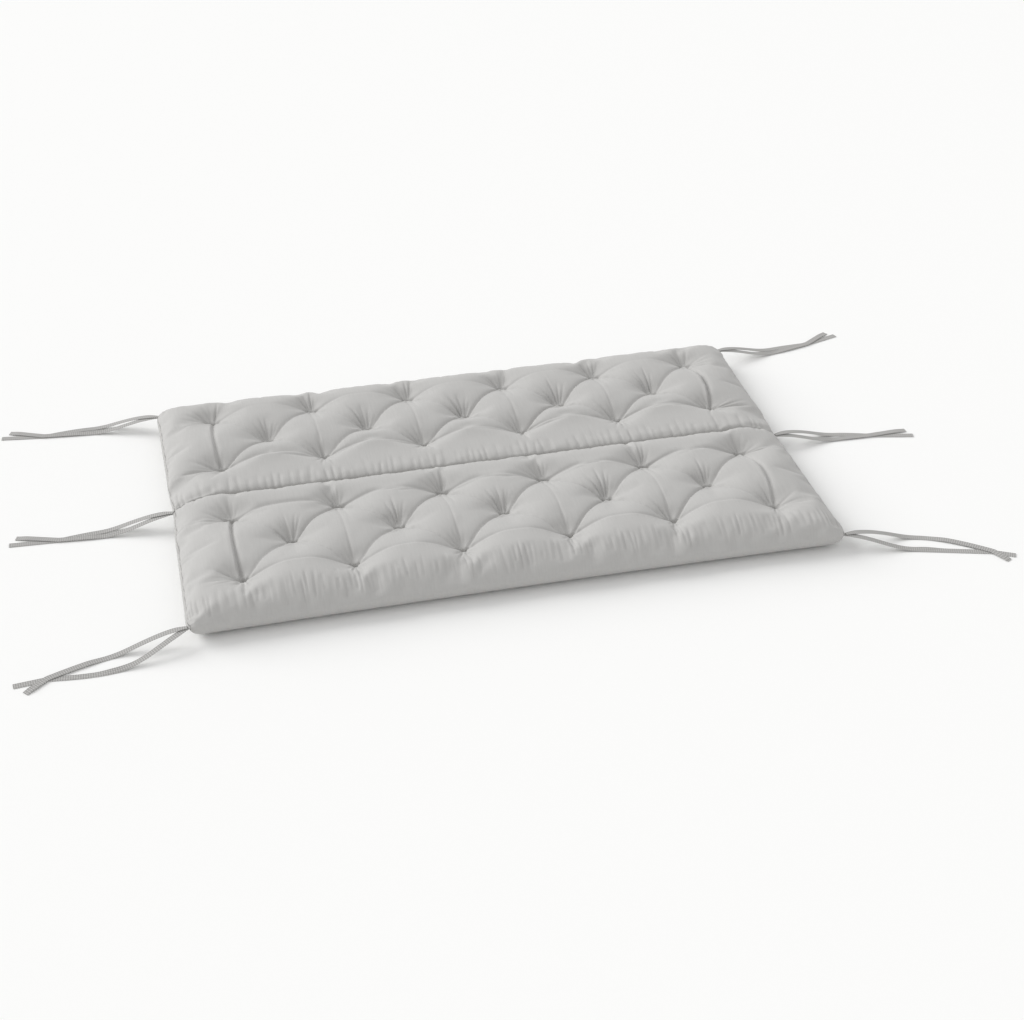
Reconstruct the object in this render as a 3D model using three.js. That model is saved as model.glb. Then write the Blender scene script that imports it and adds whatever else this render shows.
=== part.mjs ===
// A tufted bench cushion with two padded panels, a sewn fold channel and six pairs of flat ties.
// Millimetres, +Z up. The cushion lies on its back, centred on the origin, with its underside at z = 0.
// +X runs along the bench and +Y runs from the seat panel's front edge towards the back panel.

import * as THREE from 'three';

// Overall sizes of the cushion
const LENGTH = 1500;
const DEPTH = 916;
const CROWN_HEIGHT = 86;
const SEAM_HEIGHT = 39;
const CORNER_RADIUS = 24;

// How far the rounded edge reaches in from the outline, above and below the seam
const TOP_ROLL = 70;
const UNDER_ROLL = 48;

// How far the middle of each side is drawn in from its corners
const LONG_SIDE_DRAW = 8;
const SHORT_SIDE_DRAW = 3;
const CHANNEL_END_DRAW = 4;
const CHANNEL_END_WIDTH = 70;
const DRAW_REACH = 110;

// The fold channel between the panels, sewn through the filling
const CHANNEL_WEB = 6;
const CHANNEL_TOP_ROLL = 58;
const CHANNEL_UNDER_ROLL = 46;

// The tufts: two staggered panels of long and short rows
const TUFT_PITCH = 246;
const LONG_ROW = 6;
const SHORT_ROW = 5;
const PANELS = [
  { backRow: 332, middleRow: 218, frontRow: 112 },
  { backRow: -108, middleRow: -226, frontRow: -344 },
];
const TUFT_DEPTH = 33;
const TUFT_SOFTNESS = 24;
const UNDER_TUFT_DEPTH = 11;
const UNDER_TUFT_RADIUS = 48;

// The folds that the tufts pull into the cloth: how deep each is halfway along, and how wide
const FOLDS = {
  diagonal: { depth: 9, softness: 17 },
  row: { depth: 10, softness: 18 },
  endPost: { depth: 13, softness: 20 },
  post: { depth: 3, softness: 14 },
  pleat: { depth: 4, softness: 15 },
};
const PLEAT_END_INSET = 34;

// Grid lines: cells between neighbouring tufts, and the insets of the lines along the rolled edge
const CELLS_PER_PITCH = 8;
const CELLS_PER_ROW = 4;
const EDGE_INSETS = [0, 2.4, 7, 14, 25, 46, 70, 98];
const CHANNEL_LINES = [0, 6, 18, 38, 66];
const LEAST_EDGE_CELL = 12;

// The ties: flat woven tape, two tails from each root
const TAPE_WIDTH = 15;
const TAPE_ROOT_WIDTH = 9;
const TAPE_TAPER = 30;
const TAPE_THICKNESS = 1.6;
const TAPE_STEPS = 24;
const FLOOR_CLEARANCE = 0.4;
const ROOT_CLEARANCE = 0.35;
const CORNER_ROOT_ANGLE = 32;

// A tail comes down to the floor over the landing reach. The back tail starts a stack pitch above the
// front one, until they part, and the upper tail rises over the crossing in a low hump. The ranges are
// millimetres along the tail, or shares of the way to the crossing and from there to the cut end.
const LANDING_REACH = 175;
const STACK_PITCH = 2.3;
const STACK_PARTS = [95, 150];
const HUMP_RISES = [0.58, 0.72];
const HUMP_FALLS = [0.72, 1];
const FRONT_TAPE_LEAN = 12;
const LEAN_RISES = [0.4, 0.55];
const LEAN_FALLS = [0.55, 0.7];

// One row for each tie. heading and bow turn it towards the back of the cushion, cross is where its
// tails cross, gap is half the opening between them, tip and spread place the two cut ends, and
// backReach and frontReach say how far out each tail ends. over names the tail on top at the crossing.
const TIES = [
  { name: 'front_left', end: -1, place: -1, heading: -11, bow: -7, cross: 304, gap: 25, tip: -11, spread: 17,
    backReach: 355, frontReach: 376, over: 'back' },
  { name: 'front_right', end: 1, place: -1, heading: -16, bow: 25, cross: 340, gap: 24, tip: -22, spread: 11,
    backReach: 372, frontReach: 392, over: 'back' },
  { name: 'middle_left', end: -1, place: 0, heading: 1, bow: 4, cross: 268, gap: 11, tip: 17, spread: 13,
    backReach: 379, frontReach: 364, over: 'front' },
  { name: 'middle_right', end: 1, place: 0, heading: 0, bow: 16, cross: 260, gap: 13, tip: -10, spread: 14,
    backReach: 365, frontReach: 357, over: 'front' },
  { name: 'back_left', end: -1, place: 1, heading: 7, bow: 14, cross: 290, gap: 12, tip: 14, spread: 12,
    backReach: 395, frontReach: 376, over: 'front' },
  { name: 'back_right', end: 1, place: 1, heading: 9, bow: 2, cross: 280, gap: 11, tip: 25, spread: 11,
    backReach: 377, frontReach: 358, over: 'front' },
];

const CLOTH = new THREE.MeshStandardMaterial({ color: '#c8c7c4', roughness: 0.92, metalness: 0 });
const TAPE = new THREE.MeshStandardMaterial({ color: '#bfbdb9', roughness: 0.9, metalness: 0 });

const HALF_LENGTH = LENGTH / 2;
const HALF_DEPTH = DEPTH / 2;

function smoothstep(low, high, value) {
  const t = Math.min(Math.max((value - low) / (high - low), 0), 1);
  return t * t * (3 - 2 * t);
}

// Quarter of an ellipse: 0 at the seam, 1 where the roll meets the flat of the panel
function rollHeight(inset, reach) {
  const t = Math.min(inset / reach, 1);
  return Math.sqrt(1 - (1 - t) * (1 - t));
}

function tuftRow(count, y) {
  return Array.from({ length: count }, (_, i) => new THREE.Vector2((i - (count - 1) / 2) * TUFT_PITCH, y));
}

// Tufts of one panel, and the folds between them, each a straight line with its kind
function panelTufting({ backRow, middleRow, frontRow }) {
  const back = tuftRow(LONG_ROW, backRow);
  const middle = tuftRow(SHORT_ROW, middleRow);
  const front = tuftRow(LONG_ROW, frontRow);
  const folds = [];
  const addFold = (kind, from, to) => folds.push({ ...FOLDS[kind], from, to });
  for (let i = 0; i < LONG_ROW; i += 1) {
    const atEnd = i === 0 || i === LONG_ROW - 1;
    addFold(atEnd ? 'endPost' : 'post', back[i], front[i]);
  }
  for (let i = 0; i < SHORT_ROW; i += 1) {
    addFold('row', back[i], back[i + 1]);
    addFold('row', front[i], front[i + 1]);
    for (const row of [back, front]) {
      addFold('diagonal', middle[i], row[i]);
      addFold('diagonal', middle[i], row[i + 1]);
    }
  }
  return { tufts: [...back, ...middle, ...front], folds };
}

// Short pleats from the outer rows over the front and back edges
function edgePleats() {
  const edge = HALF_DEPTH - PLEAT_END_INSET;
  const outerRows = [[PANELS[0].backRow, edge], [PANELS[1].frontRow, -edge]];
  const pleat = (from, end) => ({ ...FOLDS.pleat, from, to: new THREE.Vector2(from.x, end) });
  return outerRows.flatMap(([row, end]) => tuftRow(LONG_ROW, row).map((tuft) => pleat(tuft, end)));
}

const TUFTING = PANELS.map(panelTufting);
const TUFTS = TUFTING.flatMap((panel) => panel.tufts);
const ALL_FOLDS = [...TUFTING.flatMap((panel) => panel.folds), ...edgePleats()];

// A fold is deepest halfway along and runs out into the tufts at its ends
function foldDepth(fold, point) {
  const line = fold.to.clone().sub(fold.from);
  const t = point.clone().sub(fold.from).dot(line) / line.lengthSq();
  if (t <= 0 || t >= 1) {
    return 0;
  }
  const distance = fold.from.clone().addScaledVector(line, t).distanceTo(point);
  return fold.depth * Math.sqrt(Math.sin(Math.PI * t)) * Math.exp(-distance / fold.softness);
}

function tuftingDepth(point) {
  let depth = 0;
  for (const tuft of TUFTS) {
    depth += TUFT_DEPTH * Math.exp(-tuft.distanceTo(point) / TUFT_SOFTNESS);
  }
  for (const fold of ALL_FOLDS) {
    depth += foldDepth(fold, point);
  }
  return depth;
}

// Upper face: the lower of the edge roll and the channel roll, less the tufting
function topHeight(point, inset) {
  const edge = rollHeight(inset, TOP_ROLL);
  const channel = rollHeight(Math.abs(point.y), CHANNEL_TOP_ROLL);
  const webTop = SEAM_HEIGHT + CHANNEL_WEB / 2;
  const edgeHeight = SEAM_HEIGHT + (CROWN_HEIGHT - SEAM_HEIGHT) * edge;
  const channelHeight = webTop + (CROWN_HEIGHT - webTop) * channel;
  const height = SEAM_HEIGHT + ((edgeHeight - SEAM_HEIGHT) * (channelHeight - SEAM_HEIGHT))
    / (CROWN_HEIGHT - SEAM_HEIGHT);
  return height - tuftingDepth(point) * edge * channel;
}

// Underside: flat on the floor, rolled up at the edges and along the channel, with shallow tufts
function underHeight(point, inset) {
  const edge = rollHeight(inset, UNDER_ROLL);
  const channel = rollHeight(Math.abs(point.y), CHANNEL_UNDER_ROLL);
  const webUnder = SEAM_HEIGHT - CHANNEL_WEB / 2;
  const channelRise = webUnder * (1 - channel);
  let rise = SEAM_HEIGHT * (1 - edge) + channelRise * edge;
  for (const tuft of TUFTS) {
    const reach = Math.max(1 - tuft.distanceTo(point) / UNDER_TUFT_RADIUS, 0);
    rise += UNDER_TUFT_DEPTH * reach * reach;
  }
  return rise;
}

// Evenly spaced values from start up to, but not including, end
function evenLines(start, end, cells) {
  return Array.from({ length: cells }, (_, i) => start + ((end - start) * i) / cells);
}

function lengthwiseLines() {
  const firstTuft = -((LONG_ROW - 1) / 2) * TUFT_PITCH;
  const edge = EDGE_INSETS.map((inset) => inset - HALF_LENGTH);
  const tufted = evenLines(firstTuft, -firstTuft, (LONG_ROW - 1) * CELLS_PER_PITCH);
  return [...edge, ...tufted, -firstTuft, ...edge.map((x) => -x).reverse()];
}

function depthwiseLines() {
  const [backPanel, seatPanel] = PANELS;
  const fitted = (margin) => EDGE_INSETS.filter((inset) => inset < margin - LEAST_EDGE_CELL);
  const frontEdge = fitted(HALF_DEPTH + seatPanel.frontRow).map((inset) => inset - HALF_DEPTH);
  const backEdge = fitted(HALF_DEPTH - backPanel.backRow).map((inset) => HALF_DEPTH - inset);
  const channel = [...CHANNEL_LINES.slice(1).map((y) => -y).reverse(), ...CHANNEL_LINES];
  return [
    ...frontEdge,
    ...evenLines(seatPanel.frontRow, seatPanel.middleRow, CELLS_PER_ROW),
    ...evenLines(seatPanel.middleRow, seatPanel.backRow, CELLS_PER_ROW),
    seatPanel.backRow,
    ...channel,
    ...evenLines(backPanel.frontRow, backPanel.middleRow, CELLS_PER_ROW),
    ...evenLines(backPanel.middleRow, backPanel.backRow, CELLS_PER_ROW),
    backPanel.backRow,
    ...backEdge.reverse(),
  ];
}

// How far the sides are drawn in beside a point, along X and along Y
function sideDraw(x, y) {
  const bow = 1 - (y / HALF_DEPTH) ** 2;
  const atChannel = Math.exp(-((y / CHANNEL_END_WIDTH) ** 2));
  const alongX = SHORT_SIDE_DRAW * bow + CHANNEL_END_DRAW * atChannel;
  const alongY = LONG_SIDE_DRAW * (1 - (x / HALF_LENGTH) ** 2);
  return { alongX, alongY };
}

// Plan position of a grid point: the corners are rounded ring by ring, then the sides are drawn in
function planPoint(x, y) {
  const insetX = HALF_LENGTH - Math.abs(x);
  const insetY = HALF_DEPTH - Math.abs(y);
  const inset = Math.min(insetX, insetY);
  const radius = Math.max(CORNER_RADIUS - inset, 0);
  const alongX = insetX - inset;
  const alongY = insetY - inset;
  let outX = Math.abs(x);
  let outY = Math.abs(y);
  if (radius > 0 && alongX < radius && alongY < radius) {
    const angle = (Math.PI / 4) * (1 + (alongX - alongY) / radius);
    outX = HALF_LENGTH - inset - radius + radius * Math.cos(angle);
    outY = HALF_DEPTH - inset - radius + radius * Math.sin(angle);
  }
  const draw = sideDraw(outX, outY);
  outX -= draw.alongX * (1 - smoothstep(0, DRAW_REACH, insetX));
  outY -= draw.alongY * (1 - smoothstep(0, DRAW_REACH, insetY));
  return { point: new THREE.Vector2(Math.sign(x) * outX, Math.sign(y) * outY), inset };
}

// A closed body from a grid of upper and lower points that share their outer ring
function pillowGeometry(xLines, yLines) {
  const positions = [];
  const index = [];
  const columns = xLines.length;
  const rows = yLines.length;
  const upper = [];
  const lower = [];
  const addPoint = (x, y, z) => {
    positions.push(x, y, z);
    return positions.length / 3 - 1;
  };
  const heightAt = (id) => positions[id * 3 + 2];

  for (let j = 0; j < rows; j += 1) {
    for (let i = 0; i < columns; i += 1) {
      const { point, inset } = planPoint(xLines[i], yLines[j]);
      const onSeam = inset === 0;
      const top = addPoint(point.x, point.y, onSeam ? SEAM_HEIGHT : topHeight(point, inset));
      upper.push(top);
      lower.push(onSeam ? top : addPoint(point.x, point.y, underHeight(point, inset)));
    }
  }

  // Each quad is split along its lower diagonal, so that a fold's bottom runs along edges
  const addQuad = (a, b, c, d, facesUp) => {
    const splitAC = (heightAt(a) + heightAt(c) <= heightAt(b) + heightAt(d)) === facesUp;
    const triangles = splitAC ? [a, b, c, a, c, d] : [a, b, d, b, c, d];
    index.push(...(facesUp ? triangles : triangles.reverse()));
  };
  for (let j = 0; j < rows - 1; j += 1) {
    for (let i = 0; i < columns - 1; i += 1) {
      const first = j * columns + i;
      const corners = [first, first + 1, first + columns + 1, first + columns];
      addQuad(...corners.map((corner) => upper[corner]), true);
      addQuad(...corners.map((corner) => lower[corner]), false);
    }
  }
  const geometry = new THREE.BufferGeometry();
  geometry.setAttribute('position', new THREE.Float32BufferAttribute(positions, 3));
  geometry.setIndex(index);
  geometry.computeVertexNormals();
  return geometry;
}

// How far a tail lies to the back of its heading at a distance along it
function tailOffset(tie, tail, along) {
  const toBack = tail === 'back' ? 1 : -1;
  const lens = along < tie.cross ? Math.sin((Math.PI * along) / tie.cross) : 0;
  const pastCross = Math.max((along - tie.cross) / (tailReach(tie, tail) - tie.cross), 0);
  return lens * (tie.bow + toBack * tie.gap) + pastCross * (tie.tip - toBack * tie.spread);
}

function tailReach(tie, tail) {
  return tail === 'back' ? tie.backReach : tie.frontReach;
}

// How far a tail's cut root stands off the seam, so that neither of its corners meets the cloth
function rootStandoff(normal, leaving, seamRadius) {
  const halfWidth = new THREE.Vector2(-leaving.y, leaving.x).multiplyScalar(TAPE_ROOT_WIDTH / 2);
  const standoffs = [1, -1].map((edge) => {
    const corner = normal.clone().multiplyScalar(seamRadius).addScaledVector(halfWidth, edge);
    const forward = corner.dot(leaving);
    return Math.sqrt(forward ** 2 - corner.lengthSq() + (seamRadius + ROOT_CLEARANCE) ** 2) - forward;
  });
  return Math.max(...standoffs);
}

// Where a tail leaves the end seam, and its heading
function tailRoot(tie, tail) {
  const { end, place } = tie;
  const turn = THREE.MathUtils.degToRad(tie.heading);
  const out = new THREE.Vector2(Math.cos(turn) * end, Math.sin(turn));
  const side = new THREE.Vector2(-Math.sin(turn) * end, Math.cos(turn));
  const facing = THREE.MathUtils.degToRad(place * CORNER_ROOT_ANGLE);
  const normal = new THREE.Vector2(Math.cos(facing) * end, Math.sin(facing));
  const leaving = out.clone().addScaledVector(side, tailOffset(tie, tail, 1)).normalize();
  const seamRadius = place === 0 ? HALF_LENGTH - sideDraw(HALF_LENGTH, 0).alongX : CORNER_RADIUS;
  const start = new THREE.Vector2();
  if (place !== 0) {
    start.set(end * (HALF_LENGTH - CORNER_RADIUS), place * (HALF_DEPTH - CORNER_RADIUS));
  }
  start.addScaledVector(normal, seamRadius);
  start.addScaledVector(leaving, rootStandoff(normal, leaving, seamRadius));
  return { start, out, side };
}

// One point of a tail's route, with the lean of its face about the route
function tailPoint(tie, tail, root, along) {
  const toBack = tail === 'back' ? 1 : -1;
  const toCross = along / tie.cross;
  const pastCross = (along - tie.cross) / (tailReach(tie, tail) - tie.cross);
  const flatHeight = TAPE_THICKNESS / 2 + FLOOR_CLEARANCE;
  const drop = 1 - smoothstep(0, LANDING_REACH, along);
  const stacked = 1 - smoothstep(...STACK_PARTS, along);
  const hump = smoothstep(...HUMP_RISES, toCross) * (1 - smoothstep(...HUMP_FALLS, pastCross));
  const leaning = smoothstep(...LEAN_RISES, toCross) * (1 - smoothstep(...LEAN_FALLS, toCross));
  const lean = tail === 'front' ? THREE.MathUtils.degToRad(FRONT_TAPE_LEAN) * leaning : 0;
  const height = flatHeight + (SEAM_HEIGHT - flatHeight) * drop
    + (toBack * STACK_PITCH * stacked) / 2
    + (tie.over === tail ? STACK_PITCH * hump : 0)
    + (TAPE_WIDTH / 2) * Math.sin(lean);

  const plan = root.start.clone().addScaledVector(root.out, along);
  plan.addScaledVector(root.side, tailOffset(tie, tail, along));
  return { position: new THREE.Vector3(plan.x, plan.y, height), lean };
}

// A flat tape lofted along its route, with square cut ends
function tapeGeometry(tie, tail) {
  const root = tailRoot(tie, tail);
  const reach = tailReach(tie, tail);
  const stations = Array.from({ length: TAPE_STEPS + 1 }, (_, k) => (reach * k) / TAPE_STEPS);
  const route = stations.map((along) => tailPoint(tie, tail, root, along));
  const curve = new THREE.CatmullRomCurve3(route.map((station) => station.position));
  const positions = [];
  stations.forEach((along, k) => {
    const tangent = curve.getTangent(k / TAPE_STEPS);
    const across = new THREE.Vector3(0, 0, 1).cross(tangent).normalize();
    across.applyAxisAngle(tangent, route[k].lean * tie.end);
    const normal = tangent.clone().cross(across);
    const width = THREE.MathUtils.lerp(TAPE_ROOT_WIDTH, TAPE_WIDTH, smoothstep(0, TAPE_TAPER, along));
    for (const [u, v] of [[-1, -1], [1, -1], [1, 1], [-1, 1]]) {
      const corner = route[k].position.clone();
      corner.addScaledVector(across, (u * width) / 2);
      corner.addScaledVector(normal, (v * TAPE_THICKNESS) / 2);
      positions.push(corner.x, corner.y, corner.z);
    }
  });

  const index = [];
  for (let k = 0; k < TAPE_STEPS; k += 1) {
    for (let side = 0; side < 4; side += 1) {
      const a = k * 4 + side;
      const b = k * 4 + ((side + 1) % 4);
      index.push(a, b, b + 4, a, b + 4, a + 4);
    }
  }
  const last = TAPE_STEPS * 4;
  index.push(0, 3, 2, 0, 2, 1);
  index.push(last, last + 1, last + 2, last, last + 2, last + 3);
  const geometry = new THREE.BufferGeometry();
  geometry.setAttribute('position', new THREE.Float32BufferAttribute(positions, 3));
  geometry.setIndex(index);
  geometry.computeVertexNormals();
  return geometry;
}

function named(name, geometry, material) {
  const mesh = new THREE.Mesh(geometry, material);
  mesh.name = name;
  return mesh;
}

const benchCushion = new THREE.Group();
benchCushion.add(named('cushion', pillowGeometry(lengthwiseLines(), depthwiseLines()), CLOTH));
for (const tie of TIES) {
  for (const tail of ['back', 'front']) {
    benchCushion.add(named(`tie_${tie.name}_${tail}`, tapeGeometry(tie, tail), TAPE));
  }
}

export default benchCushion;
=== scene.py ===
# A tufted bench cushion with two padded panels, a sewn fold channel and six pairs of flat ties.
# Metres, +Z up. +X runs along the bench and +Y from the seat panel's front edge to the back panel.

import math

import bpy
import numpy as np
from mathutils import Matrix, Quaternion, Vector


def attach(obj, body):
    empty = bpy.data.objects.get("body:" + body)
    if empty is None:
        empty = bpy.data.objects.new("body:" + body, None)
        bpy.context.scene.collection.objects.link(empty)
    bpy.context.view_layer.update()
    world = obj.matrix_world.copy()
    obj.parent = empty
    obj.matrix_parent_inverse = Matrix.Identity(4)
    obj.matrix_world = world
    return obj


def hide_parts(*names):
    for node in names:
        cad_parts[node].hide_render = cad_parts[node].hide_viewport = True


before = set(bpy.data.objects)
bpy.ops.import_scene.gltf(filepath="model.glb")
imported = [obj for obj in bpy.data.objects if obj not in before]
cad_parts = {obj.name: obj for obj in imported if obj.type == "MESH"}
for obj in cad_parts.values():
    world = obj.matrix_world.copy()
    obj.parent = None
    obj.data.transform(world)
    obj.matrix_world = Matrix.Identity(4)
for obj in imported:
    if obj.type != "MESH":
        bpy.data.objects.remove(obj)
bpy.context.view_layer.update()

# The camera at the photograph's angle
CAMERA_TARGET = (0.019, -0.210, 0.066)
CAMERA_AZIMUTH = -13.45
CAMERA_ELEVATION = 34.01
CAMERA_DISTANCE = 4.091
CAMERA_LENS = 62.17
SENSOR_WIDTH = 36.0

# Overall sizes of the cushion, as it is cut and sewn, before the filling swells it
LENGTH = 1.500
DEPTH = 0.916
HALF_LENGTH = LENGTH / 2
HALF_DEPTH = DEPTH / 2
SEAM_HEIGHT = 0.039
CORNER_RADIUS = 0.024
TOP_ROLL = 0.070
END_ROLL = 0.135
UNDER_ROLL = 0.048
LONG_SIDE_DRAW = 0.008
SHORT_SIDE_DRAW = 0.003
CHANNEL_END_DRAW = 0.004
CHANNEL_END_WIDTH = 0.070
DRAW_REACH = 0.110
CHANNEL_WEB = 0.006
CHANNEL_BACK_ROLL = 0.036
CHANNEL_SEAT_ROLL = 0.024
CHANNEL_FULLNESS = 6.0
CHANNEL_GAP = 0.0004
CHANNEL_UNDER_ROLL = 0.046

# The crown of each panel, as pairs of the distance from the channel and the height there
START_CROWN = 0.080
SEAT_CROWNS = ((0.010, 0.081), (0.070, 0.075), (0.190, START_CROWN))
BACK_CROWNS = ((0.005, 0.077), (0.070, 0.069), (0.190, START_CROWN))

# The tufts: two staggered panels of long and short rows, named from the back edge to the front edge
TUFT_PITCH = 0.246
LONG_ROW = 6
SHORT_ROW = 5
BACK_PANEL = {"back": 0.339, "middle": 0.222, "front": 0.122}
SEAT_PANEL = {"back": -0.100, "middle": -0.219, "front": -0.338}
TUFT_HEIGHT = 0.056
TUFT_REACH = 0.065
TUFT_STITCH_RADIUS = 0.003
UNDER_TUFT_DEPTH = 0.011
UNDER_TUFT_RADIUS = 0.048

# The main folds between tufts: depth halfway along, depth at the tufts, and softness
MAIN_FOLDS = {
    "diagonal": (0.0030, 0.0080, 0.008),
    "row": (0.0004, 0.0080, 0.008),
    "end_post": (0.0045, 0.0110, 0.007),
}
FOLD_UNEVENNESS = 0.30
SEED = 11

# How far each panel's long rows of folds bow towards the back
ROW_BOWS = {"back": 0.016, "front": 0.012}

# The cover's grid: cells along the rolls, on the flat beside the long ones and between tuft lines. The
# end rolls reach the first tuft line. The slit's lines lie close beside the channel and keep it tight.
ROLL_CELLS = 8
END_ROLL_CELLS = 14
FLAT_CELLS = 4
CELLS_PER_HALF_PITCH = 10
CELLS_PER_ROW_GAP = 10
CELL_CLUSTERING = 0.40
CHANNEL_SLIT = 0.0014
CHANNEL_CELLS = 12
CHANNEL_CLUSTERING = 0.65
TOUCHING = 1e-9

# How the cover settles over its filling, with spare cloth as a share of its size
CLOTH_FRAMES = 18
CLOTH_QUALITY = 4
CLOTH_POINT_MASS = 0.002
CLOTH_AIR_DAMPING = 1.0
CLOTH_PRESSURE = 10.0
CLOTH_EXCESS = 0.027
CLOTH_STIFFNESS = 60.0
CLOTH_SHEAR_STIFFNESS = 8.0
CLOTH_BENDING_STIFFNESS = 0.05

# The most that a point may move, as pairs of the distance from the channel and the cap there
SWELL_CAP = 0.028
SEAT_SWELLS = ((0.000, 0.005), (0.060, 0.017), (0.190, SWELL_CAP))
BACK_SWELLS = ((0.000, 0.003), (0.080, 0.014), (0.190, SWELL_CAP))

# The finer wrinkles are placed on the laid-out cloth. It equals the plan on the flat of a panel, and runs
# on over the roll to the seam by the length of the roll's curve.
ROLL_LENGTH = 0.093
END_ROLL_LENGTH = 0.153
SEAM_AT_END = HALF_LENGTH - END_ROLL + END_ROLL_LENGTH
SEAM_AT_LONG_SIDE = HALF_DEPTH - TOP_ROLL + ROLL_LENGTH
WRINKLE_REACH = 0.030
REFINED_REACH = 0.0035

# At each tuft a slot opens backwards from the stitch. SLOT_FRONT is where it slopes down and SLOT_WALL
# where it rises again, both measured towards the back. A hollow lies behind it, and a lip in front.
SLOT_DEPTHS = {"back": 0.0135, "middle": 0.0125, "front": 0.0085}
SLOT_LENGTH = 0.0095
SLOT_SIDE = 0.0035
SLOT_FRONT = (-0.006, 0.002)
SLOT_WALL = (0.005, 0.011)
REFINED_SLOT_LENGTH = 0.01235
REFINED_SLOT_PART = (-0.006, 0.013)
HOLLOW_DEPTH = 0.006
HOLLOW_OFFSET = 0.022
HOLLOW_LENGTH = 0.030
HOLLOW_WIDTH = 0.018
LIP_HEIGHT = 0.0035
LIP_LENGTH = 0.024
LIP_OFFSET = 0.012
LIP_WIDTH = 0.007

# Sharp creases along the main folds: depth halfway along, depth at the tufts and width
SHARP_CREASES = {
    "rising_diagonal": (0.0036, 0.0048, 0.0026),
    "falling_diagonal": (0.0022, 0.0044, 0.0026),
    "row": (0.0005, 0.0040, 0.0026),
    "front_row": (0.0012, 0.0038, 0.0026),
    "end_post": (0.0068, 0.0056, 0.0025),
}
END_POST_BOWS = {"left": 0.005, "right": 0.010}
GENTLE_SIDE = 1.6
CREASE_LIP = 0.30
CREASE_LIP_WIDTHS_OFF = 2.0
POST_DEPTHS = {"back": 0.0014, "all along": 0.0002, "front": 0.0040}
POST_WIDTH = 0.0030
SHORT_POST_START = 0.006
SHORT_POST_END = 0.014
SHORT_POST_REACH = 0.45
SHORT_POST_DEPTH = 0.0024
SHORT_POST_WIDTH = 0.0030

# Short wrinkles that fan out from the tufts: turn from +X in degrees, length, depth and width
TUFT_FANS = {
    "back": [(64, 0.054, 0.0034, 0.0022), (78, 0.070, 0.0048, 0.0022), (91, 0.080, 0.0058, 0.0022),
             (105, 0.066, 0.0046, 0.0022), (122, 0.068, 0.0058, 0.0022), (147, 0.058, 0.0044, 0.0024)],
    "middle": [(60, 0.054, 0.0032, 0.0020), (71, 0.066, 0.0046, 0.0020), (82, 0.082, 0.0062, 0.0020),
               (93, 0.088, 0.0066, 0.0020), (104, 0.080, 0.0058, 0.0020), (115, 0.084, 0.0070, 0.0022),
               (131, 0.078, 0.0066, 0.0022), (152, 0.062, 0.0046, 0.0024)],
    "front": [(82, 0.048, 0.0028, 0.0022), (101, 0.062, 0.0042, 0.0022), (122, 0.072, 0.0060, 0.0022),
              (146, 0.062, 0.0046, 0.0024), (-54, 0.046, 0.0034, 0.0024), (-72, 0.056, 0.0046, 0.0024),
              (-89, 0.062, 0.0050, 0.0024), (-106, 0.060, 0.0046, 0.0024), (-126, 0.048, 0.0036, 0.0024)],
}
END_FANS = [(-24, 0.066, 0.0028, 0.0026), (-6, 0.085, 0.0036, 0.0026), (12, 0.080, 0.0034, 0.0026),
            (32, 0.064, 0.0024, 0.0026)]
FAN_TURN_UNEVENNESS = 5.0
FAN_SIZE_UNEVENNESS = 0.25
FAN_RAMP = 0.25
FAN_ROOT_WIDTH = 0.7
FAN_WIDENING = 0.8

# Gathers across the rolls and the channel, all as ranges: their spacing, depth and width, and where they
# start and stop on the laid-out cloth
GATHERS = {
    "front_roll": {"spacing": (0.009, 0.018), "depth": (0.0010, 0.0029), "width": (0.0022, 0.0032),
                   "starts": (-0.392, -0.362), "stops": (-0.462, -0.430)},
    "back_roll": {"spacing": (0.020, 0.040), "depth": (0.0005, 0.0012), "width": (0.004, 0.006),
                  "starts": (0.385, 0.420), "stops": (0.470, 0.500)},
    "channel_back": {"spacing": (0.013, 0.027), "depth": (0.0010, 0.0024), "width": (0.0030, 0.0046),
                     "starts": (0.040, 0.075), "stops": (-0.012, -0.010)},
    "channel_seat": {"spacing": (0.013, 0.030), "depth": (0.0006, 0.0014), "width": (0.0032, 0.0050),
                     "starts": (-0.045, -0.025), "stops": (0.010, 0.012)},
}
END_GATHERS = {"spacing": (0.009, 0.018), "depth": (0.0004, 0.0012), "width": (0.0030, 0.0045),
               "starts": (0.712, 0.735), "stops": (0.762, 0.768)}
GATHER_FADES = (0.35, 0.80)
GATHER_SWAY = 0.004

# The raised end seams, and the groove beside each
END_SEAM_RISE = 0.0022
END_SEAM_WIDTH = 0.0030
END_SEAM_GROOVE = 0.0014
END_SEAM_GROOVE_INSET = 0.0070

# The ties: flat woven tape, two tails from each root, on the same routes as their solids
TAPE_WIDTH = 0.015
TAPE_ROOT_WIDTH = 0.009
TAPE_TAPER = 0.030
TAPE_THICKNESS = 0.0016
TAPE_STEPS = 72
TAPE_EDGE_ANGLE = 40
FLOOR_CLEARANCE = 0.0004
ROOT_CLEARANCE = 0.00035
ROOT_STEP = 0.001
CORNER_ROOT_ANGLE = 32
LANDING_REACH = 0.175
STACK_PITCH = 0.0023
STACK_PARTS = (0.095, 0.150)
HUMP_RISES = (0.58, 0.72)
HUMP_FALLS = (0.72, 1.0)
FRONT_TAPE_LEAN = 12
LEAN_RISES = (0.4, 0.55)
LEAN_FALLS = (0.55, 0.7)

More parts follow.
